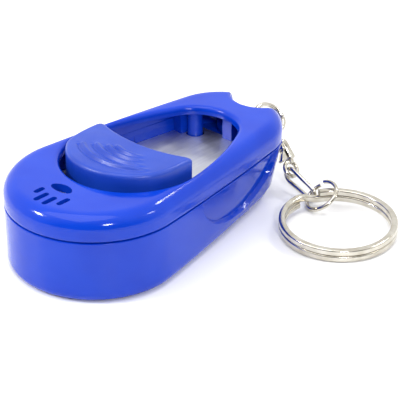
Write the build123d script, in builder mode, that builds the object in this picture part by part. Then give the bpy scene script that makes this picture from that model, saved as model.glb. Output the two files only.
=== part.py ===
"""Clicker trainer: two-shell case, press button on a spring plate, trigger clasp, link, jump ring, key ring.

Millimetres. Origin at the centre of the underside, +Z up, +Y toward the notch end that holds the keyring.
"""

import math
import os

from build123d import *

os.makedirs("parts", exist_ok=True)

# Case plan: a near arc, a rear arc and two long side arcs tangent to both.
NEAR_Y, NEAR_R = -15.0, 17.5
REAR_Y, REAR_R = 19.8, 12.6
SIDE_R = 450.0
# Foot: the plan at floor level, drawn in most at the notch end.
FOOT_NEAR_R = 17.2
FOOT_REAR_Y, FOOT_REAR_R = 19.4, 10.2
# Case heights.
BASE_TOP = 12.85
COVER_LOW = 13.15
COVER_TOP = 18.1
BASE_ROUND = 2.4
COVER_ROUND = 3.1
WALL = 1.9
FLOOR = 1.8
ROOF_UNDER = 16.3
TONGUE_TOP = 14.0
# Rear notch.
NOTCH_Y = 32.7
NOTCH_R = 6.5
BASE_NOTCH_R = 7.5
# Window throat.
THROAT_NEAR_Y, THROAT_NEAR_R = -5.35, 13.9
THROAT_REAR_Y, THROAT_REAR_R = 12.0, 8.8
THROAT_SIDE_R = 60.0
THROAT_ROUND = 1.0
# Paw-shaped vents near the wide end.
SLOT_WIDE = 1.1
PAW_SLOTS = ((-3.1, -26.5, 2.5), (-1.0, -28.0, 3.6), (1.2, -28.0, 3.5), (3.4, -26.6, 3.1))
PAW_PAD = (-0.5, -23.3)
# Ribs that hold the plate's rear edge down.
RIB_FROM_Y, RIB_TO_Y, RIB_IN = 18.3, 24.0, 4.4
# Click plate.
PLATE_LOW = 10.9
PLATE_THICK = 0.4
PLATE_TOP = PLATE_LOW + PLATE_THICK
PLATE_FRONT_Y = -19.8
SHELF_FRONT_Y = 13.0
SHELF = 3.1
# Button.
BUTTON_TOP = 20.5
BUTTON_LOW = PLATE_TOP + 0.05
BUTTON_R, BUTTON_Y = 13.5, -4.2
BUTTON_HALF = 12.7
BUTTON_BACK_R, BUTTON_BACK_Y = 28.0, 24.1
RIDGE_WIDE, RIDGE_HIGH = 0.8, 0.4
RIDGES = (
    ((-7.9, -10.8), (0.9, -13.8), (10.2, -9.9)),
    ((-5.5, -9.4), (1.7, -11.5), (8.5, -9.6)),
    ((-3.2, -8.5), (1.7, -9.8), (7.0, -8.3)),
    ((-1.8, -7.6), (1.8, -8.4), (5.8, -7.1)),
)
STUD_X, STUD_Y, STUD_R = 6.5, -7.5, 1.2
# Screws and lanyard bar.
SCREWS = ((8.6, -22.6), (-8.6, -22.6), (7.0, 20.0), (-7.0, 20.0))
BOSS_R = 1.7
HEAD_R = 1.6
SHANK_R = 0.85
SCREW_TOP = 15.6
BAR_Y, BAR_R, BAR_HALF = 30.0, 0.8, 6.9
BAR_Z = BASE_TOP + BAR_R + 0.02
# Relief under the rear lobes, where the clasp's thumb tab swings.
RELIEF_R, RELIEF_TOP = 10.3, 9.6
# Clasp: its plane leans from upright; X in the plane is the case's +Y.
CLASP_AT = (2.9, 31.8, 12.8)
CLASP_LEAN = math.radians(41.4)
CLASP = Plane(CLASP_AT, x_dir=(0, 1, 0), z_dir=(math.cos(CLASP_LEAN), 0, math.sin(CLASP_LEAN)))
BOW_R, BOW_WIRE = 3.8, 0.5
TURN_OUT = (-math.sin(math.radians(73.4)), -math.cos(math.radians(73.4)))
PIVOT = (-0.6, -5.9)
EYE = (-1.26, -10.67)
EYE_R, EYE_WIRE = 1.55, 0.45
TAB = ((-0.95, -6.2), (-1.9, -7.1), (-2.9, -8.3), (-2.7, -8.7), (-2.2, -8.75), (-1.1, -8.4))
# Link, jump ring and key ring.
LINK = Plane((10.56, 30.09, 3.54), x_dir=(0.947, -0.091, -0.307), z_dir=(0.1022, 0.9944, 0.0204))
LINK_TOP_R, LINK_LOW_R, LINK_LONG, LINK_WIRE = 1.6, 1.3, 5.62, 0.46
JUMP = Plane((19.34, 28.97, 2.54), x_dir=(0.409, 0.709, 0.571), z_dir=(-0.2856, -0.4963, 0.8198))
JUMP_R, JUMP_WIRE, JUMP_GAP, JUMP_FROM, JUMP_LIFT = 3.45, 0.43, 18.0, 59.0, 0.55
KEY = Plane((28.24, 23.17, 1.98), x_dir=(1, 0, -0.042), z_dir=(0.042, -0.031, 0.999))
KEY_R, KEY_WIDE, KEY_TURN, KEY_STEP, KEY_FROM, KEY_RAMP = 11.05, 1.35, 1.3, 1.34, 149.0, 26.0


def egg(near_y, near_r, rear_y, rear_r, side_r, mode=Mode.ADD):
    """A smooth closed outline of four tangent arcs, symmetric about the Y axis."""
    to_near = side_r - near_r
    to_rear = side_r - rear_r
    apart = rear_y - near_y
    along = (to_near**2 - to_rear**2 + apart**2) / (2 * apart)
    cx = -math.sqrt(to_near**2 - along**2)
    cy = near_y + along
    near_x = cx - cx * side_r / to_near
    near_t = cy + (near_y - cy) * side_r / to_near
    rear_x = cx - cx * side_r / to_rear
    rear_t = cy + (rear_y - cy) * side_r / to_rear
    mid_y = (near_t + rear_t) / 2
    mid_x = cx + math.sqrt(side_r**2 - (mid_y - cy) ** 2)
    with BuildLine() as outline:
        ThreePointArc((-near_x, near_t), (0, near_y - near_r), (near_x, near_t))
        ThreePointArc((near_x, near_t), (mid_x, mid_y), (rear_x, rear_t))
        ThreePointArc((rear_x, rear_t), (0, rear_y + rear_r), (-rear_x, rear_t))
        ThreePointArc((-rear_x, rear_t), (-mid_x, mid_y), (-near_x, near_t))
    make_face(outline.edges(), mode=mode)


def case_outline(inset=0.0):
    """The case's plan outline moved inward by an inset, on the current sketch."""
    egg(NEAR_Y, NEAR_R - inset, REAR_Y, REAR_R - inset, SIDE_R - inset)


def foot_outline(inset=0.0):
    """The case's plan at floor level, moved inward by an inset, on the current sketch."""
    egg(NEAR_Y, FOOT_NEAR_R - inset, FOOT_REAR_Y, FOOT_REAR_R - inset, SIDE_R - inset)


def throat_outline():
    """The window's narrowest outline, on the current sketch."""
    egg(THROAT_NEAR_Y, THROAT_NEAR_R, THROAT_REAR_Y, THROAT_REAR_R, THROAT_SIDE_R)


def rib_band(inset):
    """The rear ribs: from an inset of the plan to the ribs' inner face, on the current sketch."""
    case_outline(inset)
    with Locations((0, (RIB_FROM_Y + RIB_TO_Y) / 2)):
        Rectangle(60, RIB_TO_Y - RIB_FROM_Y, mode=Mode.INTERSECT)
    egg(NEAR_Y, NEAR_R - RIB_IN, REAR_Y, REAR_R - RIB_IN, SIDE_R - RIB_IN, Mode.SUBTRACT)


def notch(radius, mode=Mode.SUBTRACT):
    """A circle on the notch's centre, on the current sketch."""
    with Locations((0, NOTCH_Y)):
        Circle(radius, mode=mode)


def save(builder, name):
    """Labels the finished piece and writes its STEP file."""
    builder.part.label = name
    export_step(builder.part, f"parts/{name}.step")


# Finger recess cutter: an oval bar across both side walls, less the tapered case drawn in by the recess's depth.
RECESS_Y, RECESS_DEEP = 11.0, 0.9
RECESS_LONG, RECESS_LOW = 13.6, 9.4
with BuildPart() as drawn_in:
    with BuildSketch():
        foot_outline(RECESS_DEEP)
    with BuildSketch(Plane.XY.offset(BASE_TOP)):
        case_outline(RECESS_DEEP)
    loft()
    with BuildSketch(Plane.XY.offset(BASE_TOP)):
        case_outline(RECESS_DEEP)
    extrude(amount=20)
with BuildPart() as recess_tool:
    with BuildSketch(Plane.YZ.offset(-25)):
        with Locations((RECESS_Y, BASE_TOP + 0.15)):
            Ellipse(RECESS_LONG, RECESS_LOW)
    extrude(amount=50)
    add(drawn_in.part, mode=Mode.SUBTRACT)

# Hollows of the base: a wide one in front of the plate's rear shelf, and a narrower one that runs on under it.
with BuildPart() as front_hollow:
    with BuildSketch():
        foot_outline(WALL)
    with BuildSketch(Plane.XY.offset(BASE_TOP)):
        case_outline(WALL)
    loft()
    split(bisect_by=Plane.XY.offset(FLOOR))
    split(bisect_by=Plane.XZ.offset(-SHELF_FRONT_Y))
with BuildPart() as rear_hollow:
    with BuildSketch():
        foot_outline(SHELF)
    with BuildSketch(Plane.XY.offset(BASE_TOP)):
        case_outline(SHELF)
    loft()
    split(bisect_by=Plane.XY.offset(FLOOR))
    with BuildSketch():
        notch(RELIEF_R + WALL, Mode.ADD)
    extrude(amount=BASE_TOP, mode=Mode.SUBTRACT)

# Base shell: tub with a rear shelf for the plate, a tongue under the cover, finger recesses and screw bosses.
with BuildPart() as base_shell:
    with BuildSketch():
        foot_outline()
    with BuildSketch(Plane.XY.offset(BASE_TOP)):
        case_outline()
    loft()
    fillet(base_shell.faces().sort_by(Axis.Z)[0].edges(), BASE_ROUND)
    with BuildSketch(Plane.XY.offset(BASE_TOP)):
        case_outline(0.95)
    extrude(amount=TONGUE_TOP - BASE_TOP)
    with BuildSketch():
        notch(BASE_NOTCH_R, Mode.ADD)
    extrude(amount=BASE_TOP, mode=Mode.SUBTRACT)
    with BuildSketch(Plane.XY.offset(BASE_TOP)):
        notch(BASE_NOTCH_R + WALL, Mode.ADD)
    extrude(amount=TONGUE_TOP - BASE_TOP, mode=Mode.SUBTRACT)
    with BuildSketch():
        notch(RELIEF_R, Mode.ADD)
    extrude(amount=RELIEF_TOP, mode=Mode.SUBTRACT)
    add(recess_tool.part, mode=Mode.SUBTRACT)
    add(front_hollow.part, mode=Mode.SUBTRACT)
    add(rear_hollow.part, mode=Mode.SUBTRACT)
    with BuildSketch(Plane.XY.offset(PLATE_LOW)):
        case_outline(WALL)
        notch(BASE_NOTCH_R + WALL)
    extrude(amount=TONGUE_TOP - PLATE_LOW, mode=Mode.SUBTRACT)
    with BuildSketch(Plane.XY.offset(FLOOR)):
        with Locations(*SCREWS):
            Circle(BOSS_R)
    extrude(amount=BASE_TOP - FLOOR)
    with BuildSketch(Plane.XY.offset(FLOOR)):
        with Locations(*SCREWS):
            Circle(HEAD_R + 1.2)
    extrude(amount=1.4)
    with BuildSketch():
        with Locations(*SCREWS):
            Circle(SHANK_R + 0.2)
    extrude(amount=BASE_TOP, mode=Mode.SUBTRACT)
    with BuildSketch():
        with Locations(*SCREWS):
            Circle(HEAD_R + 0.1)
    extrude(amount=1.5, mode=Mode.SUBTRACT)
save(base_shell, "base_shell")

# Top cover: window ring with a rounded outer edge, paw vents, ribs that hold the plate down, and screw bosses.
with BuildPart() as top_cover:
    with BuildSketch(Plane.XY.offset(COVER_LOW)):
        case_outline()
    extrude(amount=COVER_TOP - COVER_LOW)
    fillet(top_cover.faces().sort_by(Axis.Z)[-1].edges(), COVER_ROUND)
    with BuildSketch(Plane.XY.offset(COVER_LOW)):
        throat_outline()
    extrude(amount=COVER_TOP - COVER_LOW, mode=Mode.SUBTRACT)
    tall = top_cover.faces().filter_by(lambda f: f.bounding_box().size.Z > COVER_TOP - COVER_LOW - 0.5)
    lip = tall.edges().filter_by(lambda e: e.bounding_box().min.Z > COVER_TOP - 0.5)
    fillet(lip, THROAT_ROUND)
    with BuildSketch(Plane.XY.offset(COVER_LOW)):
        notch(NOTCH_R, Mode.ADD)
    extrude(amount=COVER_TOP - COVER_LOW, mode=Mode.SUBTRACT)
    with BuildSketch(Plane.XY.offset(COVER_LOW)):
        case_outline(WALL)
        notch(NOTCH_R + WALL)
    extrude(amount=ROOF_UNDER - COVER_LOW, mode=Mode.SUBTRACT)
    with BuildSketch(Plane.XY.offset(COVER_LOW)):
        case_outline(0.85)
        notch(BASE_NOTCH_R + WALL - 0.1)
    extrude(amount=TONGUE_TOP + 0.1 - COVER_LOW, mode=Mode.SUBTRACT)
    with BuildSketch(Plane.XY.offset(COVER_TOP)):
        for x, y, high in PAW_SLOTS:
            with Locations((x, y)):
                SlotOverall(high, SLOT_WIDE, rotation=90)
        with Locations(PAW_PAD):
            Ellipse(2.35, 1.15)
    extrude(amount=-COVER_TOP + ROOF_UNDER - 1, mode=Mode.SUBTRACT)
    with BuildSketch(Plane.XY.offset(TONGUE_TOP + 0.1)):
        rib_band(WALL - 0.2)
    extrude(amount=ROOF_UNDER - TONGUE_TOP - 0.1)
    with BuildSketch(Plane.XY.offset(PLATE_TOP + 0.02)):
        rib_band(WALL + 0.2)
        with Locations(*SCREWS):
            Circle(BOSS_R + 0.2, mode=Mode.SUBTRACT)
    extrude(amount=ROOF_UNDER - PLATE_TOP - 0.02)
    with BuildSketch(Plane.XY.offset(PLATE_TOP + 0.02)):
        with Locations((0, 22.5)):
            Rectangle(2.4, 1.2)
    extrude(amount=ROOF_UNDER - PLATE_TOP - 0.02)
    with BuildSketch(Plane.XY.offset(COVER_LOW)):
        with Locations((0, 23.7)):
            Rectangle(2.4, 2.4)
    extrude(amount=ROOF_UNDER - COVER_LOW)
    with BuildSketch(Plane.XY.offset(COVER_LOW)):
        with Locations(*SCREWS):
            Circle(BOSS_R - 0.1)
    extrude(amount=ROOF_UNDER - COVER_LOW)
    with BuildSketch(Plane.XY.offset(COVER_LOW)):
        with Locations(*SCREWS):
            Circle(SHANK_R + 0.02)
    extrude(amount=SCREW_TOP + 0.1 - COVER_LOW, mode=Mode.SUBTRACT)
    with BuildSketch(Plane.YZ.offset(-BAR_HALF - 0.02)):
        with Locations((BAR_Y, BAR_Z)):
            Circle(BAR_R + 0.02)
        with Locations((BAR_Y, BAR_Z - 2)):
            Rectangle(2 * BAR_R + 0.04, 4)
    extrude(amount=2 * BAR_HALF + 0.04, mode=Mode.SUBTRACT)
save(top_cover, "top_cover")

# Press button: a half-moon with a hollow back edge and four raised grip ridges.
with BuildPart() as press_button:
    with BuildSketch(Plane.XY.offset(BUTTON_LOW)):
        with Locations((0, BUTTON_Y)):
            Circle(BUTTON_R)
            Rectangle(2 * BUTTON_HALF, 4 * BUTTON_R, mode=Mode.INTERSECT)
        with Locations((0, BUTTON_BACK_Y)):
            Circle(BUTTON_BACK_R, mode=Mode.SUBTRACT)
        corners = vertices().group_by(Axis.Y)
        fillet(corners[-1], 0.8)
        fillet(corners[0], 3.0)
    extrude(amount=BUTTON_TOP - BUTTON_LOW)
    fillet(press_button.faces().sort_by(Axis.Z)[-1].edges(), 0.6)
    with BuildSketch(Plane.XY.offset(BUTTON_TOP)):
        for start, middle, end in RIDGES:
            SlotArc(Edge.make_three_point_arc(start, middle, end), RIDGE_WIDE)
    extrude(amount=RIDGE_HIGH)
    with BuildSketch(Plane.XY.offset(BUTTON_LOW)):
        with Locations((STUD_X, STUD_Y), (-STUD_X, STUD_Y)):
            Circle(STUD_R + 0.02)
    extrude(amount=3.2, mode=Mode.SUBTRACT)
save(press_button, "press_button")

# Button rivets: studs with heads under the click plate.
with BuildPart() as button_rivets:
    with BuildSketch(Plane.XY.offset(PLATE_LOW - 0.5)):
        with Locations((STUD_X, STUD_Y), (-STUD_X, STUD_Y)):
            Circle(2.0)
    extrude(amount=0.48)
    with BuildSketch(Plane.XY.offset(PLATE_LOW - 0.1)):
        with Locations((STUD_X, STUD_Y), (-STUD_X, STUD_Y)):
            Circle(STUD_R)
    extrude(amount=BUTTON_LOW - PLATE_LOW + 3.2)
save(button_rivets, "button_rivets")

# Click plate: thin spring steel, cut to the case's plan, with holes for the studs and the rear bosses.
with BuildPart() as click_plate:
    with BuildSketch(Plane.XY.offset(PLATE_LOW)):
        case_outline(WALL + 0.3)
        with Locations((0, PLATE_FRONT_Y + 50)):
            Rectangle(100, 100, mode=Mode.INTERSECT)
        notch(BASE_NOTCH_R + WALL + 0.3)
        with Locations((STUD_X, STUD_Y), (-STUD_X, STUD_Y)):
            Circle(STUD_R + 0.05, mode=Mode.SUBTRACT)
        with Locations(*SCREWS[2:]):
            Circle(BOSS_R + 0.2, mode=Mode.SUBTRACT)
    extrude(amount=PLATE_THICK)
save(click_plate, "click_plate")

# Case screws: four pan heads with a slot, driven up from the underside.
with BuildPart() as case_screws:
    with BuildSketch(Plane.XY.offset(0.3)):
        with Locations(*SCREWS):
            Circle(HEAD_R)
    extrude(amount=1.19)
    with BuildSketch(Plane.XY.offset(0.3)):
        with Locations(*SCREWS):
            Rectangle(2 * HEAD_R + 1, 0.45, rotation=35)
    extrude(amount=0.5, mode=Mode.SUBTRACT)
    with BuildSketch(Plane.XY.offset(1.4)):
        with Locations(*SCREWS):
            Circle(SHANK_R)
    extrude(amount=SCREW_TOP - 1.4)
save(case_screws, "case_screws")

# Lanyard bar across the rear notch.
with BuildPart() as lanyard_bar:
    with BuildSketch(Plane.YZ.offset(-BAR_HALF)):
        with Locations((BAR_Y, BAR_Z)):
            Circle(BAR_R)
    extrude(amount=2 * BAR_HALF)
save(lanyard_bar, "lanyard_bar")

# Clasp body: round-wire hook, a forked shank that carries the gate, and an eye.
nose = math.radians(205)
with BuildPart() as clasp_body:
    with BuildLine(CLASP) as bow:
        bend = ThreePointArc(
            (BOW_R * math.cos(nose), BOW_R * math.sin(nose)),
            (-BOW_R * math.sin(math.radians(22)), BOW_R * math.cos(math.radians(22))),
            (BOW_R, 0),
        )
        TangentArc((BOW_R, 0), (1.943, -2.492), tangent=(0, -1))
        TangentArc((1.943, -2.492), (0.15, -4.9), tangent=TURN_OUT)
    with BuildSketch(Plane(bend @ 0, z_dir=bend % 0)):
        Circle(BOW_WIRE)
    sweep(path=bow.wires()[0])
    with BuildSketch(CLASP.offset(-1.0)):
        with Locations((0.0, -6.75)):
            RectangleRounded(1.5, 4.5, 0.5)
        with Locations(PIVOT):
            Circle(0.75)
    extrude(amount=2.0)
    with BuildSketch(CLASP.offset(-0.75)):
        with Locations((-0.95, -5.6)):
            Rectangle(2.0, 3.6)
    extrude(amount=1.5, mode=Mode.SUBTRACT)
    with BuildSketch(CLASP.offset(-1.1)):
        with Locations(PIVOT):
            Circle(0.32)
    extrude(amount=2.2, mode=Mode.SUBTRACT)
    with BuildSketch(CLASP.offset(-0.6)):
        with Locations((-0.25, -8.9)):
            SlotOverall(1.9, 1.1, rotation=70)
    extrude(amount=1.2)
    with BuildLine(CLASP) as eye:
        CenterArc(EYE, EYE_R, 60, 360)
    with BuildSketch(Plane(eye.line @ 0, z_dir=eye.line % 0)):
        Circle(EYE_WIRE)
    sweep(path=eye.wires()[0])
save(clasp_body, "clasp_body")

# Gate lever: an arm that closes the hook's mouth, and a thumb tab below the pivot.
with BuildPart() as gate_lever:
    with BuildSketch(CLASP.offset(-0.5)):
        with Locations((-1.93, -4.2)):
            SlotCenterToCenter(4.0, 0.7, rotation=128.3)
    extrude(amount=1.0)
    with BuildSketch(CLASP.offset(-0.7)):
        with Locations(PIVOT):
            Circle(0.55)
        with BuildLine():
            Polyline(*TAB, close=True)
        make_face()
    extrude(amount=1.4)
    with BuildSketch(CLASP.offset(-0.8)):
        with Locations(PIVOT):
            Circle(0.32)
    extrude(amount=1.6, mode=Mode.SUBTRACT)
save(gate_lever, "gate_lever")

# Gate pivot pin.
with BuildPart() as gate_pin:
    with BuildSketch(CLASP.offset(-1.0)):
        with Locations(PIVOT):
            Circle(0.3)
    extrude(amount=2.0)
save(gate_pin, "gate_pin")

# Link: thick wire bent into a long loop, wider at the clasp's eye.
with BuildPart() as chain_link:
    slope = math.asin((LINK_TOP_R - LINK_LOW_R) / LINK_LONG)
    top = (LINK_TOP_R * math.sin(slope), LINK_TOP_R * math.cos(slope))
    low = (LINK_LONG + LINK_LOW_R * math.sin(slope), LINK_LOW_R * math.cos(slope))
    with BuildLine(LINK) as loop:
        ThreePointArc(top, (-LINK_TOP_R, 0), (top[0], -top[1]))
        Line((top[0], -top[1]), (low[0], -low[1]))
        ThreePointArc((low[0], -low[1]), (LINK_LONG + LINK_LOW_R, 0), low)
        side = Line(low, top)
    with BuildSketch(Plane(side @ 0.5, z_dir=side % 0.5)):
        Circle(LINK_WIRE)
    sweep(path=loop.wires()[0])
save(chain_link, "chain_link")

# Jump ring: open wire ring, its two ends standing apart.
with BuildPart() as jump_ring:
    with BuildLine(JUMP) as hoop:
        flat_end = math.radians(JUMP_FROM - 99)
        mid_way = math.radians(JUMP_FROM - 54)
        tip = math.radians(JUMP_FROM - JUMP_GAP / 2)
        CenterArc((0, 0), JUMP_R, JUMP_FROM + JUMP_GAP / 2, 261 - JUMP_GAP / 2)
        Spline(
            (JUMP_R * math.cos(flat_end), JUMP_R * math.sin(flat_end), 0),
            (JUMP_R * math.cos(mid_way), JUMP_R * math.sin(mid_way), JUMP_LIFT * 0.3),
            (JUMP_R * math.cos(tip), JUMP_R * math.sin(tip), JUMP_LIFT),
            tangents=((-math.sin(flat_end), math.cos(flat_end), 0), (-math.sin(tip), math.cos(tip), 0.25)),
        )
    ends = hoop.wires()[0]
    with BuildSketch(Plane(ends @ 0, z_dir=ends % 0)):
        Circle(JUMP_WIRE)
    sweep(path=ends)
save(jump_ring, "jump_ring")

# Key ring: two flat turns joined by one short ramp.
with BuildPart() as split_ring:
    with BuildLine(KEY) as coil:
        half = KEY_STEP / 2
        start = math.radians(KEY_FROM)
        finish = math.radians(KEY_FROM + KEY_RAMP)
        foot = (KEY_R * math.cos(start), KEY_R * math.sin(start), -half)
        head = (KEY_R * math.cos(finish), KEY_R * math.sin(finish), half)
        foot_way = (-math.sin(start), math.cos(start), 0)
        head_way = (-math.sin(finish), math.cos(finish), 0)
        CenterArc((0, 0, -half), KEY_R, KEY_FROM + KEY_RAMP, 360 - KEY_RAMP)
        Spline(foot, head, tangents=(foot_way, head_way))
        CenterArc((0, 0, half), KEY_R, KEY_FROM + KEY_RAMP, 360 - KEY_RAMP)
    first = coil.edges().sort_by(Axis(KEY.origin, KEY.z_dir))[0]
    with BuildSketch(Plane(first @ 0, x_dir=KEY.z_dir, z_dir=first % 0)):
        RectangleRounded(KEY_TURN, KEY_WIDE, 0.35)
    sweep(path=coil.wires()[0])
save(split_ring, "split_ring")
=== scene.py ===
import math

import bpy
import bmesh
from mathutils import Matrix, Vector


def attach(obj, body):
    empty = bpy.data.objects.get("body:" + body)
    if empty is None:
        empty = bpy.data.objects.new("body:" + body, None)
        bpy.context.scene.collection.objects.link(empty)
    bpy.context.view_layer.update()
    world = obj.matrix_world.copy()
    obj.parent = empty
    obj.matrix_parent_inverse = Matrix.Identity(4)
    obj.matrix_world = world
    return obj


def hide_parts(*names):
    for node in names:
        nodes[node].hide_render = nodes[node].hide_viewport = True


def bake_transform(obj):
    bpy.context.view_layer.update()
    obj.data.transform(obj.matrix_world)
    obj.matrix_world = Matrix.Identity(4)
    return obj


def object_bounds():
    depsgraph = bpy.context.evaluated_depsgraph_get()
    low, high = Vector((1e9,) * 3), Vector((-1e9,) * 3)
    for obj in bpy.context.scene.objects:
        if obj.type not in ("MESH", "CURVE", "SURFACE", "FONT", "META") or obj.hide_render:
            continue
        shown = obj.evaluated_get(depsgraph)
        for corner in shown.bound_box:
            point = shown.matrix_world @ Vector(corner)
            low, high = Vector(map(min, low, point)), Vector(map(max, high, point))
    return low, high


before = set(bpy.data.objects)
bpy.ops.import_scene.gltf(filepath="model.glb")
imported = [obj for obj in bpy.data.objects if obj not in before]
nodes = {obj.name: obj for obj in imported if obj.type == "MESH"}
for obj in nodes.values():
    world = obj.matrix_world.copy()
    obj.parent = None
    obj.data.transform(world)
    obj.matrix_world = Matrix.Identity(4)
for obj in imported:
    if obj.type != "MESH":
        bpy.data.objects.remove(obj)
MM = 0.001

low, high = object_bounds()


# Materials: built from nodes, with the plain values set on the shader's own sockets.
# Texture sizes are in metres.
class Finish:
    """A Principled material and the few node chains that all the finishes here share."""

    def __init__(self, name, color, roughness, metallic=0.0, coat=0.0, coat_rough=0.05, specular=0.5):
        self.mat = bpy.data.materials.new(name)
        self.mat.use_nodes = True
        self.tree = self.mat.node_tree
        self.tree.nodes.clear()
        out = self.add("ShaderNodeOutputMaterial")
        self.bsdf = self.add("ShaderNodeBsdfPrincipled")
        self.join(self.bsdf, "BSDF", out, "Surface")
        self.set(self.bsdf, "Base Color", (*color, 1))
        self.set(self.bsdf, "Roughness", roughness)
        self.set(self.bsdf, "Metallic", metallic)
        self.set(self.bsdf, "Coat Weight", coat)
        self.set(self.bsdf, "Coat Roughness", coat_rough)
        self.set(self.bsdf, "Specular IOR Level", specular)
        self.coords = self.add("ShaderNodeTexCoord")

    def add(self, kind):
        return self.tree.nodes.new(kind)

    def join(self, a, a_socket, b, b_socket):
        self.tree.links.new(a.outputs[a_socket], b.inputs[b_socket])

    def set(self, node, socket, value):
        node.inputs[socket].default_value = value

    def noise(self, grain, stretch=(1, 1, 1), turn=(0, 0, 0), detail=3.0, rough=0.55):
        """Noise whose features are about `grain` metres across before they are stretched."""
        mapping = self.add("ShaderNodeMapping")
        self.join(self.coords, "Object", mapping, "Vector")
        self.set(mapping, "Rotation", turn)
        self.set(mapping, "Scale", stretch)
        node = self.add("ShaderNodeTexNoise")
        self.join(mapping, "Vector", node, "Vector")
        self.set(node, "Scale", 1 / grain)
        self.set(node, "Detail", detail)
        self.set(node, "Roughness", rough)
        return node

    def ramp(self, node, low, high, out_low, out_high):
        """Maps the noise values from low to high onto out_low to out_high."""
        scale = self.add("ShaderNodeMapRange")
        self.join(node, "Fac", scale, "Value")
        ends = (("From Min", low), ("From Max", high), ("To Min", out_low), ("To Max", out_high))
        for socket, value in ends:
            self.set(scale, socket, value)
        return scale

    def total(self, a, b):
        node = self.add("ShaderNodeMath")
        node.operation = "ADD"
        self.join(a, 0, node, 0)
        self.join(b, 0, node, 1)
        return node

    def tint(self, by, first, second):
        """Base colour between two close tones."""
        mix = self.add("ShaderNodeMix")
        mix.data_type = "RGBA"
        self.join(by, 0, mix, "Factor")
        mix.inputs["A"].default_value = (*first, 1)
        mix.inputs["B"].default_value = (*second, 1)
        self.tree.links.new(mix.outputs["Result"], self.bsdf.inputs["Base Color"])

    def roughness(self, node):
        self.join(node, 0, self.bsdf, "Roughness")

    def relief(self, node, height):
        bump = self.add("ShaderNodeBump")
        self.join(node, 0, bump, "Height")
        self.set(bump, "Strength", 1.0)
        self.set(bump, "Distance", height)
        self.join(bump, "Normal", self.bsdf, "Normal")


def moulded_gloss():
    """Injection-moulded gloss plastic: a slight swirl in the tone, sink-mark waviness, hairlines."""
    f = Finish("case_blue", (0.002, 0.034, 0.47), 0.16, coat=0.05, coat_rough=0.06, specular=0.3)
    f.tint(f.ramp(f.noise(0.011, detail=2), 0.35, 0.7, 0, 1), (0.001, 0.036, 0.46), (0.003, 0.046, 0.51))
    hairlines = f.ramp(f.noise(0.00018, (0.06, 1, 1), (0.3, 0.2, 0.7), 2), 0.64, 0.72, 0, 0.1)
    smears = f.ramp(f.noise(0.006, (1, 0.5, 1), detail=4), 0.4, 0.7, 0.08, 0.15)
    f.roughness(f.total(hairlines, smears))
    waviness = f.ramp(f.noise(0.0045, detail=1), 0, 1, 0, 1)
    grain = f.ramp(f.noise(0.0002, detail=2), 0, 1, 0, 0.05)
    f.relief(f.total(waviness, grain), 0.00006)
    return f.mat


def moulded_satin():
    """The button's plastic: the same blue from a finely eroded mould, polished by the thumb."""
    f = Finish("button_blue", (0.004, 0.045, 0.44), 0.34)
    f.tint(f.ramp(f.noise(0.008, detail=2), 0.35, 0.7, 0, 1), (0.004, 0.042, 0.39), (0.008, 0.055, 0.45))
    f.roughness(f.ramp(f.noise(0.003, detail=5), 0.3, 0.7, 0.3, 0.42))
    f.relief(f.noise(0.00016, detail=3), 0.000012)
    return f.mat


def brushed_steel():
    """Rolled spring steel: fine streaks along its length, faint smudges and a few scratches."""
    f = Finish("spring_steel", (0.66, 0.67, 0.70), 0.34, metallic=1.0)
    streaks = f.noise(0.00022, (1, 0.03, 1), detail=4, rough=0.7)
    f.tint(f.ramp(streaks, 0.3, 0.7, 0, 1), (0.66, 0.67, 0.69), (0.76, 0.77, 0.79))
    smudges = f.ramp(f.noise(0.005, detail=5), 0.35, 0.7, 0, 0.12)
    f.roughness(f.total(f.ramp(streaks, 0.3, 0.7, 0.36, 0.46), smudges))
    scratches = f.ramp(f.noise(0.00035, (1, 0.05, 1), (0, 0, 0.5), 2), 0.66, 0.72, 1, 0)
    f.relief(f.total(streaks, scratches), 0.000012)
    return f.mat


def plated_nickel():
    """Bright nickel on drawn wire: warm tone, draw lines, dull spots where the plating is worn."""
    f = Finish("bright_nickel", (0.80, 0.77, 0.70), 0.14, metallic=1.0)
    f.tint(f.ramp(f.noise(0.002, detail=4), 0.35, 0.7, 0, 1), (0.68, 0.65, 0.58), (0.52, 0.48, 0.40))
    f.roughness(f.ramp(f.noise(0.0007, detail=5, rough=0.65), 0.35, 0.75, 0.09, 0.27))
    f.relief(f.noise(0.0003, detail=4, rough=0.65), 0.000014)
    return f.mat


def zinc_plate():
    """Zinc on the screws and studs: cool grey, fine crystals, a slight yellow cast in places."""
    f = Finish("zinc_screw", (0.60, 0.61, 0.63), 0.34, metallic=1.0)
    f.tint(f.ramp(f.noise(0.0009, detail=4), 0.35, 0.7, 0, 1), (0.62, 0.63, 0.66), (0.60, 0.57, 0.47))
    f.roughness(f.ramp(f.noise(0.0004, detail=4), 0.3, 0.7, 0.24, 0.42))
    f.relief(f.noise(0.0002, detail=3), 0.00001)
    return f.mat


def studio_floor():
    f = Finish("floor_white", (0.93, 0.93, 0.935), 0.4, specular=0.3)
    f.roughness(f.ramp(f.noise(0.05, detail=3), 0.3, 0.7, 0.36, 0.46))
    return f.mat


case_blue = moulded_gloss()
button_blue = moulded_satin()
spring_steel = brushed_steel()
bright_nickel = plated_nickel()
zinc_screw = zinc_plate()


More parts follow.
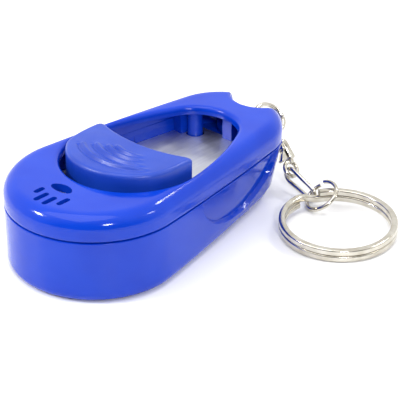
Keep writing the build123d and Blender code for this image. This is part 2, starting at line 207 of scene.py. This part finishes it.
# Shapes. Plan sizes in millimetres, in the frame's own axes; every mesh is scaled to metres when it is made.
def egg(near_y, near_r, rear_y, rear_r, side_r):
    """Right half of a smooth outline as arcs: (centre x, centre y, radius, first and last normal angle)."""
    to_near, to_rear, apart = side_r - near_r, side_r - rear_r, rear_y - near_y
    along = (to_near**2 - to_rear**2 + apart**2) / (2 * apart)
    cx = -math.sqrt(to_near**2 - along**2)
    cy = near_y + along
    first = math.atan2(near_y - cy, -cx)
    last = math.atan2(rear_y - cy, -cx)
    return [
        (0, near_y, near_r, -math.pi / 2, first),
        (cx, cy, side_r, first, last),
        (0, rear_y, rear_r, last, math.pi / 2),
    ]


def egg_loop(arcs, counts):
    """Centre, radius and normal for every column of a mesh that goes once round the outline."""
    right = []
    for (cx, cy, r, a0, a1), n in zip(arcs, counts):
        for k in range(n):
            a = a0 + (a1 - a0) * k / n
            right.append((cx, cy, r, math.cos(a), math.sin(a)))
    right.append((0, arcs[2][1], arcs[2][2], 0.0, 1.0))
    left = [(-cx, cy, r, -c, s) for cx, cy, r, c, s in right[1:-1]]
    return right + left[::-1]


def row(loop, inset, z):
    """One ring of vertices at a given inset from the outline."""
    return [(cx + (r - inset) * c, cy + (r - inset) * s, z) for cx, cy, r, c, s in loop]


def egg_depth(arcs, x, y):
    """How far a point is inside an outline: negative outside it."""
    x = abs(x)
    for cx, cy, r, a0, a1 in arcs:
        a = math.atan2(y - cy, x - cx)
        if a0 - 1e-9 <= a <= a1 + 1e-9 or (a0 < -1.5 and a <= a1) or (a1 > 1.5 and a >= a0):
            return r - math.hypot(x - cx, y - cy)
    return arcs[0][2]


def soft_min(a, b, k):
    h = max(k - abs(a - b), 0) / k
    return min(a, b) - h * h * k / 4


def smooth(t):
    t = min(max(t, 0), 1)
    return t * t * (3 - 2 * t)


def quarter(d, r):
    """Height lost at a distance inside an edge that is rounded by r."""
    if d >= r:
        return 0.0
    return r - math.sqrt(max(r * r - (r - max(d, 0)) ** 2, 0))


def mesh_object(name, verts, faces, mat, smooth_angle=35):
    data = bpy.data.meshes.new(name)
    data.from_pydata([(x * MM, y * MM, z * MM) for x, y, z in verts], [], faces)
    data.materials.append(mat)
    made = bmesh.new()
    made.from_mesh(data)
    bmesh.ops.recalc_face_normals(made, faces=made.faces)
    made.to_mesh(data)
    made.free()
    obj = bpy.data.objects.new(name, data)
    bpy.context.scene.collection.objects.link(obj)
    shade(obj, smooth_angle)
    return obj


def shade(obj, angle=35):
    data = obj.data
    data.shade_smooth()
    data.set_sharp_from_angle(angle=math.radians(angle))


def loft(rows, wrap=False, cap_first=False, cap_last=False):
    """Vertices and faces of a surface through rings of equal count."""
    n = len(rows[0])
    verts = [v for ring in rows for v in ring]
    faces = []
    last = len(rows) if wrap else len(rows) - 1
    for i in range(last):
        a, b = i * n, ((i + 1) % len(rows)) * n
        for k in range(n):
            m = (k + 1) % n
            faces.append((a + k, a + m, b + m, b + k))
    if cap_first:
        faces.append(tuple(range(n)))
    if cap_last:
        faces.append(tuple(range(len(rows) * n - 1, (len(rows) - 1) * n - 1, -1)))
    return verts, faces


def cut(obj, cutters):
    """Takes the cutters out of obj and removes them."""
    for tool in cutters:
        mod = obj.modifiers.new("cut", "BOOLEAN")
        mod.operation = "DIFFERENCE"
        mod.solver = "EXACT"
        mod.object = tool
    bpy.context.view_layer.update()
    done = bpy.data.meshes.new_from_object(obj.evaluated_get(bpy.context.evaluated_depsgraph_get()))
    obj.modifiers.clear()
    obj.data = done
    for tool in cutters:
        bpy.data.objects.remove(tool)
    shade(obj)


def prism(name, outline, z0, z1, mat):
    verts, faces = loft([[(x, y, z0) for x, y in outline], [(x, y, z1) for x, y in outline]],
                        cap_first=True, cap_last=True)
    return mesh_object(name, verts, faces, mat)


def circle_outline(cx, cy, r, n=96):
    turns = [k * math.tau / n for k in range(n)]
    return [(cx + r * math.cos(a), cy + r * math.sin(a)) for a in turns]


def slot_outline(cx, y0, y1, wide, n=16):
    r = wide / 2
    turns = [math.pi * k / n for k in range(n + 1)]
    top = [(cx + r * math.cos(a), y1 - r + r * math.sin(a)) for a in turns]
    low_end = [(cx - r * math.cos(a), y0 + r - r * math.sin(a)) for a in turns]
    return top + low_end


def tube(name, path, radius, mat, closed=False, up=None, section=None, sides=20):
    """Sweeps a section along a path of points, keeping it upright where up is given."""
    pts = [Vector(p) for p in path]
    n = len(pts)
    if section is None:
        section = [(radius * math.cos(k * math.tau / sides), radius * math.sin(k * math.tau / sides))
                   for k in range(sides)]
    rows = []
    side = None
    for i, p in enumerate(pts):
        ahead = pts[(i + 1) % n] if closed or i + 1 < n else p
        back = pts[i - 1] if closed or i > 0 else p
        way = (ahead - back).normalized()
        if up is not None:
            side = way.cross(Vector(up)).normalized()
        else:
            guess = side or (Vector((0, 0, 1)).cross(way) if abs(way.z) < 0.9 else Vector((1, 0, 0)))
            side = (guess - way * guess.dot(way)).normalized()
        high = side.cross(way)
        rows.append([tuple(p + side * a + high * b) for a, b in section])
    verts, faces = loft(rows, wrap=closed, cap_first=not closed, cap_last=not closed)
    return mesh_object(name, verts, faces, mat, 50)


CASE = egg(-15.0, 17.5, 19.8, 12.6, 450.0)
FOOT = egg(-15.0, 17.2, 19.4, 10.2, 450.0)
THROAT = egg(-5.35, 13.9, 12.0, 8.8, 60.0)
NOTCH = (0.0, 32.7)
NOTCH_IN_BASE, NOTCH_IN_COVER = 7.5, 6.5
BASE_TOP = 12.85
WALL = 1.9
FLOOR = 1.8
PLATE_LOW, PLATE_TOP = 10.9, 11.3
RECESS_Y, RECESS_Z, RECESS_LONG, RECESS_TALL, RECESS_DEEP = 11.0, 13.0, 13.7, 9.5, 0.9
SCREWS = ((8.6, -22.6), (-8.6, -22.6), (7.0, 20.0), (-7.0, 20.0))
COLUMNS = (56, 150, 46)
case_loop = egg_loop(CASE, COLUMNS)
foot_loop = egg_loop(FOOT, COLUMNS)
throat_loop = egg_loop(THROAT, COLUMNS)


# Base shell: tapered tub with a rounded foot, finger recesses in both side walls and a notch for the clasp.
def recess(y, z):
    """Depth of the finger recess: an oval with a crisp rim, closed by a narrow bead under the seam."""
    u, v = y - RECESS_Y, z - RECESS_Z
    far = max(math.hypot(u / RECESS_LONG, v / RECESS_TALL), 1e-6)
    inward = (1 - far) / far * math.hypot(u, v) if far < 1 else 0
    return RECESS_DEEP * smooth(inward / 0.45) * smooth((12.75 - z) / 0.35)


def wall_row(z, inset=0.0, dented=False):
    """One ring of the tapered wall, moved inward by an inset and, where asked, by the finger recess."""
    ring = []
    t = min(z / BASE_TOP, 1)
    for (cx, cy, r, c, s), (fx, fy, fr, fc, fs) in zip(case_loop, foot_loop):
        x = (fx + fr * fc) * (1 - t) + (cx + r * c) * t
        y = (fy + fr * fs) * (1 - t) + (cy + r * s) * t
        deep = inset + (recess(y, z) if dented else 0)
        ring.append((x - deep * c, y - deep * s, z))
    return ring


def foot_row(turn):
    """The rounded bottom edge, a little tighter at the near end than at the clasp end."""
    ring = []
    straight = wall_row(0)
    for (x, y, _), (_, _, _, c, s) in zip(straight, case_loop):
        round_r = 1.9 + 1.1 * smooth((y + 32.5) / 62)
        rise = round_r * (1 - math.cos(turn))
        deep = round_r * (1 - math.sin(turn)) - rise * 0.05
        ring.append((x - deep * c, y - deep * s, rise))
    return ring


def hollow_tool(name, inset, z0, z1, notch_r):
    """A cutter for a hollow: the tapered plan drawn in, with the notch's round wall left standing."""
    levels = [z0] + ([BASE_TOP] if z0 < BASE_TOP < z1 else []) + [z1]
    verts, faces = loft([wall_row(z, inset) for z in levels], cap_first=True, cap_last=True)
    tool = mesh_object(name, verts, faces, case_blue)
    cut(tool, [prism("keep", circle_outline(*NOTCH, notch_r), z0 - 1, z1 + 1, case_blue)])
    return tool


FOOT_TOP, WALL_TOP = 3.3, 12.3
foot = [foot_row(math.radians(a)) for a in range(0, 91, 6)]
wall = [wall_row(FOOT_TOP + (WALL_TOP - FOOT_TOP) * k / 48, 0, True) for k in range(49)]
rim = [wall_row(12.4 + 0.06 * k, 0, True) for k in range(6)]
rim += [wall_row(12.8, 0.07), wall_row(BASE_TOP, 0.22)]
verts, faces = loft(foot + wall + rim, cap_first=True, cap_last=True)
base = mesh_object("base_tub", verts, faces, case_blue)
cut(base, [
    prism("notch", circle_outline(*NOTCH, NOTCH_IN_BASE, n=160), -1, 14, case_blue),
    prism("relief", circle_outline(*NOTCH, 10.3, n=160), -1, 9.6, case_blue),
    hollow_tool("hollow", WALL, FLOOR, PLATE_LOW, 12.2),
    hollow_tool("hollow_top", WALL, 10.88, 14, 9.4),
] + [prism("sink", circle_outline(x, y, 1.7, n=40), -1, 1.5, case_blue) for x, y in SCREWS])
verts, faces = loft([row(case_loop, 0.95, 12.6), row(case_loop, 0.95, 14.0),
                     row(case_loop, 1.88, 14.0), row(case_loop, 1.88, 12.6)], wrap=True)
tongue = mesh_object("base_tongue", verts, faces, case_blue)
cut(tongue, [prism("tongue_gap", circle_outline(*NOTCH, 9.4), 12, 15, case_blue)])
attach(base, "case")
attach(tongue, "case")
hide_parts("base_shell")


# Top cover: domed ring round the window, with the paw-shaped vents.
COVER_LOW, ROOF_UNDER, COVER_TOP = 13.15, 16.3, 18.1
OUTER_ROUND = 3.2
INNER_ROUND = 1.1


def cover_height(x, y):
    out = egg_depth(CASE, x, y)
    inner = -egg_depth(THROAT, x, y)
    z = COVER_TOP + soft_min(-quarter(out, OUTER_ROUND), -quarter(inner, INNER_ROUND), 0.4)
    return z - quarter(math.hypot(x - NOTCH[0], y - NOTCH[1]) - NOTCH_IN_COVER, 0.45)


def cover_rows():
    outer = row(case_loop, 0, 0)
    inner = row(throat_loop, 0, 0)
    rows = [row(case_loop, 0.3, COVER_LOW), row(case_loop, 0.09, 13.2), row(case_loop, 0, 13.35)]
    rows += [row(case_loop, 0, z) for z in (13.8, 14.4, 15.0)]
    steps = [(0, 1 - math.cos(math.radians(5 * k))) for k in range(1, 19)]
    steps += [(1, k / 26) for k in range(1, 26)]
    steps += [(2, math.sin(math.radians(7.5 * k))) for k in range(13)]
    for part, f in steps:
        ring = []
        for (x0, y0, _), (x1, y1, _) in zip(outer, inner):
            wide = math.hypot(x1 - x0, y1 - y0)
            a, b = min(OUTER_ROUND, 0.55 * wide), min(INNER_ROUND, 0.4 * wide)
            d = (a * f, a + (wide - a - b) * f, wide - b + b * f)[part]
            x, y = x0 + (x1 - x0) * d / wide, y0 + (y1 - y0) * d / wide
            ring.append((x, y, cover_height(x, y)))
        rows.append(ring)
    rows += [[(x, y, z) for x, y, _ in inner] for z in (16.45, COVER_LOW)]
    return rows


verts, faces = loft(cover_rows(), wrap=True)
cover = mesh_object("cover_ring", verts, faces, case_blue)
PAD = [(-0.5 + 2.5 * math.cos(a) * (1 - 0.12 * math.sin(a)), -23.25 + 1.3 * math.sin(a))
       for a in [k * math.tau / 72 for k in range(72)]]
SLOTS = ((-3.1, -27.8, -25.3), (-1.0, -29.8, -26.2), (1.2, -29.8, -26.3), (3.4, -28.2, -25.1))
cut(cover, [
    prism("notch", circle_outline(*NOTCH, NOTCH_IN_COVER, n=160), 10, 20, case_blue),
    hollow_tool("hollow", WALL, 12, ROOF_UNDER, 8.4),
    hollow_tool("rebate", 0.85, 12, 14.1, 9.3),
    prism("pad", PAD, 14, 20, case_blue),
] + [prism("slot", slot_outline(x, y0, y1, 1.15), 14, 20, case_blue) for x, y0, y1 in SLOTS])
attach(cover, "case")
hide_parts("top_cover")

# Ribs under the cover that hold the plate's rear edge, and the posts round the rear screws.
RIB_LOW, RIB_HIGH = 11.32, 16.4
RIB_FROM_Y, RIB_TO_Y, RIB_OUT, RIB_IN = 18.3, 24.0, 2.05, 4.4
centre = [(-1.2, 21.9), (1.2, 21.9), (1.2, 24.6), (-1.2, 24.6)]
rib_parts = [prism("centre_rib", centre, RIB_LOW, RIB_HIGH, case_blue)]
for sign in (1, -1):
    rear = [p for p in case_loop if RIB_FROM_Y < p[1] + p[2] * p[4] < RIB_TO_Y and p[3] * sign > 0]
    rear.sort(key=lambda p: p[4])
    outer_side = [(cx + (r - RIB_OUT) * c, cy + (r - RIB_OUT) * s) for cx, cy, r, c, s in rear]
    inner_side = [(cx + (r - RIB_IN) * c, cy + (r - RIB_IN) * s) for cx, cy, r, c, s in rear]
    side_plan = outer_side + inner_side[::-1]
    rib_parts.append(prism("side_rib", side_plan, RIB_LOW, RIB_HIGH, case_blue))
    post_plan = circle_outline(7.0 * sign, 20.0, 1.6, n=40)
    rib_parts.append(prism("post", post_plan, 11.0, RIB_HIGH, case_blue))
for part in rib_parts:
    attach(part, "case")


# Press button: half-moon with a hollow back edge; its four grip ridges are raised from the same skin.
BUTTON_R, BUTTON_Y, BUTTON_HALF, BUTTON_TOP = 13.5, -4.2, 12.7, 20.5
BACK_R, BACK_Y = 28.0, 24.1
BUTTON_MID = -8.5
RIDGE_HIGH, TROUGH_DEEP = 0.39, 0.3


def button_depth(x, y):
    d = soft_min(BUTTON_R - math.hypot(x, y - BUTTON_Y), BUTTON_HALF - abs(x), 2.0)
    return soft_min(d, math.hypot(x, y - BACK_Y) - BACK_R, 1.4)


def arc_through(a, b, c):
    """Centre and radius of the circle through three points."""
    d = 2 * (a[0] * (b[1] - c[1]) + b[0] * (c[1] - a[1]) + c[0] * (a[1] - b[1]))
    sq = [p[0] ** 2 + p[1] ** 2 for p in (a, b, c)]
    x = (sq[0] * (b[1] - c[1]) + sq[1] * (c[1] - a[1]) + sq[2] * (a[1] - b[1])) / d
    y = (sq[0] * (c[0] - b[0]) + sq[1] * (a[0] - c[0]) + sq[2] * (b[0] - a[0])) / d
    return x, y, math.hypot(a[0] - x, a[1] - y)


RIDGES = []
for a, b, c in (
    ((-7.9, -10.8), (0.9, -13.8), (10.2, -9.9)),
    ((-5.5, -9.4), (1.7, -11.5), (8.5, -9.6)),
    ((-3.2, -8.5), (1.7, -9.8), (7.0, -8.3)),
    ((-1.8, -7.6), (1.8, -8.4), (5.8, -7.1)),
):
    x, y, r = arc_through(a, b, c)
    start, end = (math.atan2(p[1] - y, p[0] - x) + math.tau for p in (a, c))
    RIDGES.append((x, y, r, start, end))


def ridge_height(x, y):
    """Four long crests, steep and undercut toward the near end, that die away to the right."""
    total = 0.0
    for cx, cy, r, a0, a1 in RIDGES:
        run = min(max(math.atan2(y - cy, x - cx) + math.tau, a0), a1)
        aside = math.hypot(x - cx, y - cy) - r
        off = math.hypot(x - cx - r * math.cos(run), y - cy - r * math.sin(run))
        past = off - abs(aside)
        fade = smooth((run - a0) * r / 0.8 + 0.3) * smooth((a1 - run) * r / 4.0)
        crest = smooth(1 - off / (0.55 if aside > 0 else 0.85))
        trough = smooth(1 - math.hypot(past, aside - 0.8) / 0.55)
        total += fade * (RIDGE_HIGH * crest - TROUGH_DEEP * trough)
    return min(total, RIDGE_HIGH)


def button_edge(angle):
    """The point of the button's outline in one direction from its middle, by halving."""
    near, far = 0.0, 20.0
    for _ in range(40):
        r = (near + far) / 2
        if button_depth(r * math.cos(angle), BUTTON_MID + r * math.sin(angle)) > 0:
            near = r
        else:
            far = r
    return near * math.cos(angle), BUTTON_MID + near * math.sin(angle)


def button_top(x, y):
    """Flat but for the ridges, the edge round and a slight sag at the left end."""
    sag = 0.6 * (min(x, 0) / BUTTON_HALF) ** 2
    return BUTTON_TOP - sag - quarter(button_depth(x, y), 0.8) + ridge_height(x, y)


brim = [button_edge(k * math.tau / 520) for k in range(520)]
rows = [[(x, y, z) for x, y in brim] for z in (11.4, 12.5, 14.0, 15.5, 17.0, 18.0, 18.9, 19.5)]
fractions = [1 - 0.1 * (1 - math.cos(math.radians(9 * k))) for k in range(1, 11)]
fractions += [0.9 * (1 - k / 96) for k in range(1, 96)]
for f in fractions:
    ring = [(x * f, BUTTON_MID + (y - BUTTON_MID) * f) for x, y in brim]
    rows.append([(x, y, button_top(x, y)) for x, y in ring])
verts, faces = loft(rows, cap_first=True, cap_last=True)
button = mesh_object("thumb_button", verts, faces, button_blue)
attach(button, "button")
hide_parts("press_button")

# Click plate: a flat plate on a fine grid, with holes for the rear screw bosses.
verts, faces = [], []
ACROSS, ALONG = 40, 110
PLATE_NEAR, PLATE_FAR = -19.8, 22.9
inner_egg = egg(-15.0, 15.3, 19.8, 10.4, 447.8)
for face_z in (PLATE_TOP, PLATE_LOW):
    for j in range(ALONG + 1):
        y = PLATE_NEAR + (PLATE_FAR - PLATE_NEAR) * j / ALONG
        near, far = 0.0, 20.0
        for _ in range(30):
            mid = (near + far) / 2
            if egg_depth(inner_egg, mid, y) > 0:
                near = mid
            else:
                far = mid
        for i in range(ACROSS + 1):
            verts.append((near * (2 * i / ACROSS - 1), y, face_z))
SIDE = ACROSS + 1
LAYER = SIDE * (ALONG + 1)
for j in range(ALONG):
    for i in range(ACROSS):
        a = j * SIDE + i
        faces.append((a, a + 1, a + SIDE + 1, a + SIDE))
        faces.append((LAYER + a, LAYER + a + SIDE, LAYER + a + SIDE + 1, LAYER + a + 1))
edge = list(range(SIDE)) + [j * SIDE + ACROSS for j in range(1, ALONG + 1)]
edge += [ALONG * SIDE + i for i in range(ACROSS - 1, -1, -1)]
edge += [j * SIDE for j in range(ALONG - 1, 0, -1)]
for a, b in zip(edge, edge[1:] + edge[:1]):
    faces.append((a, b, LAYER + b, LAYER + a))
plate = mesh_object("spring_plate", verts, faces, spring_steel)
cut(plate, [prism("boss_hole", circle_outline(x, y, 1.9, n=40), 10, 12, spring_steel)
            for x, y in SCREWS[2:]])
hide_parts("click_plate")
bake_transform(plate)

# Clasp, in its own leaning plane: u runs rearward, v up the clasp, t across it.
LEAN = math.radians(41.4)
CLASP_AT = (2.9, 31.8, 12.8)
GATE_PIN = (-0.6, -5.9)


def lean(u, v, t=0.0):
    return (
        CLASP_AT[0] - v * math.sin(LEAN) + t * math.cos(LEAN),
        CLASP_AT[1] + u,
        CLASP_AT[2] + v * math.cos(LEAN) + t * math.sin(LEAN),
    )


def slab(name, outline, half, bevel):
    """A flat plated piece with rounded edges, cut to an outline in the clasp's plane."""
    mx = sum(p[0] for p in outline) / len(outline)
    my = sum(p[1] for p in outline) / len(outline)
    rows = []
    for k in range(9):
        a = math.pi * k / 8
        t = -math.cos(a)
        shrink = bevel * (1 - math.sin(a))
        t = math.copysign(half - bevel * (1 - abs(t)), t) if k != 4 else 0.0
        ring = []
        for x, y in outline:
            d = math.hypot(x - mx, y - my)
            f = max(d - shrink, 0) / d
            ring.append(lean(mx + (x - mx) * f, my + (y - my) * f, t))
        rows.append(ring)
    verts, faces = loft(rows, cap_first=True, cap_last=True)
    return mesh_object(name, verts, faces, bright_nickel, 40)


def rounded(points, r, n=6):
    """A polygon with its corners rounded."""
    out = []
    for i, p in enumerate(points):
        p = Vector(p)
        a, b = Vector(points[i - 1]), Vector(points[(i + 1) % len(points)])
        start, end = p + (a - p).normalized() * r, p + (b - p).normalized() * r
        for k in range(n + 1):
            t = k / n
            out.append(tuple(start * (1 - t) ** 2 + p * 2 * t * (1 - t) + end * t * t))
    return out


def arc(cx, cy, r, a0, a1, n):
    """Points along an arc whose angles are in degrees."""
    turns = [math.radians(a0 + (a1 - a0) * k / n) for k in range(n + 1)]
    return [(cx + r * math.cos(a), cy + r * math.sin(a)) for a in turns]


bow = arc(0, 0, 3.8, 205, 0, 60)
bow += arc(1.2, 0, 2.6, 0, -73.4, 22)[1:]
bow += arc(2.66, -4.9, 2.51, 106.6, 180, 20)[1:]
hook = tube("clasp_hook", [lean(u, v) for u, v in bow], 0.5, bright_nickel, sides=28)
shank_plan = rounded([(-0.72, -4.55), (0.75, -4.55), (0.72, -9.0), (-0.72, -9.0)], 0.45)
shank = slab("clasp_shank", shank_plan, 1.0, 0.3)
neck_plan = rounded([(-0.6, -8.6), (0.5, -8.6), (0.1, -9.75), (-0.9, -9.75)], 0.3)
neck = slab("clasp_neck", neck_plan, 0.6, 0.25)
eye_path = [lean(u, v) for u, v in arc(-1.26, -10.67, 1.55, 0, 360, 72)[:-1]]
eye = tube("clasp_eye", eye_path, 0.45, bright_nickel, closed=True, sides=24)
ear = slab("clasp_ear", arc(*GATE_PIN, 0.75, 0, 360, 40)[:-1], 1.0, 0.15)
for part in (hook, shank, neck, eye, ear):
    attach(part, "clasp")
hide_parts("clasp_body")
arm_end = math.radians(128.3)
along = (math.cos(arm_end), math.sin(arm_end))
ARM_LONG, ARM_HALF = 4.0, 0.35
tip = [math.pi / 2 - math.pi * k / 12 for k in range(13)]
arm_plan = [(0, ARM_HALF)]
arm_plan += [(ARM_LONG + ARM_HALF * math.cos(a), ARM_HALF * math.sin(a)) for a in tip]
arm_plan += [(0, -ARM_HALF)]
arm = slab("gate_arm", [
    (GATE_PIN[0] + along[0] * d + along[1] * w, GATE_PIN[1] + along[1] * d - along[0] * w)
    for d, w in arm_plan
], 0.5, 0.2)
tab_plan = rounded([(-0.95, -6.3), (-1.9, -7.1), (-2.9, -8.3), (-2.6, -8.72), (-1.1, -8.4)], 0.25)
tab = slab("gate_tab", tab_plan, 0.7, 0.2)
for part in (arm, tab):
    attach(part, "gate")
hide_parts("gate_lever")

# Link: a long loop, wider at the clasp's eye.
ahead = Vector((0.947, -0.091, -0.307)).normalized()
across = Vector((0.1022, 0.9944, 0.0204)).cross(ahead).normalized()
LINK_AT = Vector((10.56, 30.09, 3.54))
EYE_END_R, RING_END_R, LINK_LONG = 1.6, 1.3, 5.62
slope = math.degrees(math.asin((EYE_END_R - RING_END_R) / LINK_LONG))
loop = arc(0, 0, EYE_END_R, 90 - slope, 270 + slope, 40)
loop += arc(LINK_LONG, 0, RING_END_R, -90 + slope, 90 - slope, 36)
link_path = [tuple(LINK_AT + ahead * a + across * b) for a, b in loop]
link = tube("chain_loop", link_path, 0.46, bright_nickel, closed=True, sides=24)
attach(link, "link")
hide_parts("chain_link")

# Jump ring: sprung open, one end standing above the other.
ring_n = Vector((-0.2856, -0.4963, 0.8198)).normalized()
ring_x = Vector((0.409, 0.709, 0.571))
ring_x = (ring_x - ring_n * ring_x.dot(ring_n)).normalized()
ring_y = ring_n.cross(ring_x)
JUMP_AT = Vector((19.34, 28.97, 2.54))
JUMP_R, JUMP_LIFT = 3.45, 0.55
open_path = []
for k in range(121):
    a = 68 + 342 * k / 120
    climb = max(a - 320, 0) / 90
    lift = JUMP_LIFT * smooth(climb) * climb**0.3
    a = math.radians(a)
    flat = ring_x * JUMP_R * math.cos(a) + ring_y * JUMP_R * math.sin(a)
    open_path.append(tuple(JUMP_AT + flat + ring_n * lift))
jump = tube("open_ring", open_path, 0.43, bright_nickel, sides=24)
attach(jump, "jump")
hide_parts("jump_ring")

# Key ring: two flat turns of rounded wire joined by a short ramp.
key_n = Vector((0.042, -0.031, 0.999)).normalized()
key_x = Vector((1, 0, -0.042)).normalized()
key_x = (key_x - key_n * key_x.dot(key_n)).normalized()
key_y = key_n.cross(key_x)
KEY_AT = Vector((28.24, 23.17, 1.98))
KEY_R, KEY_PITCH = 11.05, 1.34
STEPS = 721
coil = []
for k in range(STEPS + 1):
    a = 175 + k * (334 + 360) / STEPS
    rise = -KEY_PITCH / 2 + KEY_PITCH * smooth((a - 509) / 26)
    a = math.radians(a)
    flat = key_x * KEY_R * math.cos(a) + key_y * KEY_R * math.sin(a)
    coil.append(tuple(KEY_AT + flat + key_n * rise))
wire = rounded([(-0.675, -0.65), (0.675, -0.65), (0.675, 0.65), (-0.675, 0.65)], 0.42, 5)
key = tube("key_coil", coil, 0, bright_nickel, up=key_n, section=wire)
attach(key, "key")
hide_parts("split_ring")

# Lanyard bar.
BAR_Y, BAR_Z, BAR_R = 30.0, 13.67, 0.8
bar_path = [(x, BAR_Y, BAR_Z) for x in (-6.9, -2.0, 2.0, 6.9)]
bar = tube("lanyard_pin", bar_path, BAR_R, bright_nickel, sides=48)
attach(bar, "case")
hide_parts("lanyard_bar")

# The screws, studs and pivot pin keep their CAD shapes.
for name, mat in (("case_screws", zinc_screw), ("button_rivets", zinc_screw), ("gate_pin", bright_nickel)):
    nodes[name].data.materials.clear()
    nodes[name].data.materials.append(mat)

# Floor.
bpy.ops.mesh.primitive_plane_add(size=3, location=(0, 0, low.z))
floor = bpy.context.object
floor.name = "floor"
floor.data.materials.append(studio_floor())

# Light: a white studio whose camera side is darker, one large panel overhead and small ones
# for the edge highlights.
bpy.context.scene.view_settings.view_transform = "Standard"
world = bpy.data.worlds.new("surround")
bpy.context.scene.world = world
world.use_nodes = True
tree = world.node_tree
way = tree.nodes.new("ShaderNodeTexCoord")
toward = tree.nodes.new("ShaderNodeVectorMath")
toward.operation = "DOT_PRODUCT"
toward.inputs[1].default_value = (0.62, -0.68, -0.38)
tree.links.new(way.outputs["Generated"], toward.inputs[0])
tone = tree.nodes.new("ShaderNodeMapRange")
tone.interpolation_type = "SMOOTHSTEP"
for socket, value in (("From Min", -0.1), ("From Max", 0.7), ("To Min", 1.05), ("To Max", 0.08)):
    tone.inputs[socket].default_value = value
tree.links.new(toward.outputs["Value"], tone.inputs["Value"])
tree.links.new(tone.outputs["Result"], tree.nodes["Background"].inputs["Strength"])
tree.nodes["Background"].inputs["Color"].default_value = (1, 1, 1, 1)


def panel(name, place, width, height, power):
    """An area light that faces the origin."""
    data = bpy.data.lights.new(name, "AREA")
    data.shape = "RECTANGLE"
    data.size, data.size_y = width, height
    data.energy = power
    lamp = bpy.data.objects.new(name, data)
    bpy.context.scene.collection.objects.link(lamp)
    lamp.location = place
    lamp.rotation_mode = "QUATERNION"
    lamp.rotation_quaternion = (-Vector(place)).to_track_quat("-Z", "Y")


panel("top_panel", (-0.03, -0.15, 0.5), 0.42, 0.42, 1.02)
panel("back_panel", (0.07, 0.33, 0.40), 0.12, 0.05, 0.5)
for name, place, power in (
    ("left_panel", (-0.22, -0.30, 0.28), 0.9),
    ("front_panel", (0.37, -0.24, 0.28), 0.9),
    ("right_panel", (0.36, 0.20, 0.30), 0.15),
):
    panel(name, place, 0.075, 0.04, power)

# Camera.
cam_data = bpy.data.cameras.new("camera")
camera = bpy.data.objects.new("camera", cam_data)
bpy.context.scene.collection.objects.link(camera)
bpy.context.scene.camera = camera
cam_data.sensor_width = 36
cam_data.lens = 157.1
cam_data.clip_start, cam_data.clip_end = 0.01, 20
camera.location = (0.20964, -0.21463, 0.17170)
look_at = Vector((0.01149, 0.00133, 0.0100))
camera.rotation_mode = "QUATERNION"
camera.rotation_quaternion = (look_at - camera.location).to_track_quat("-Z", "Y")
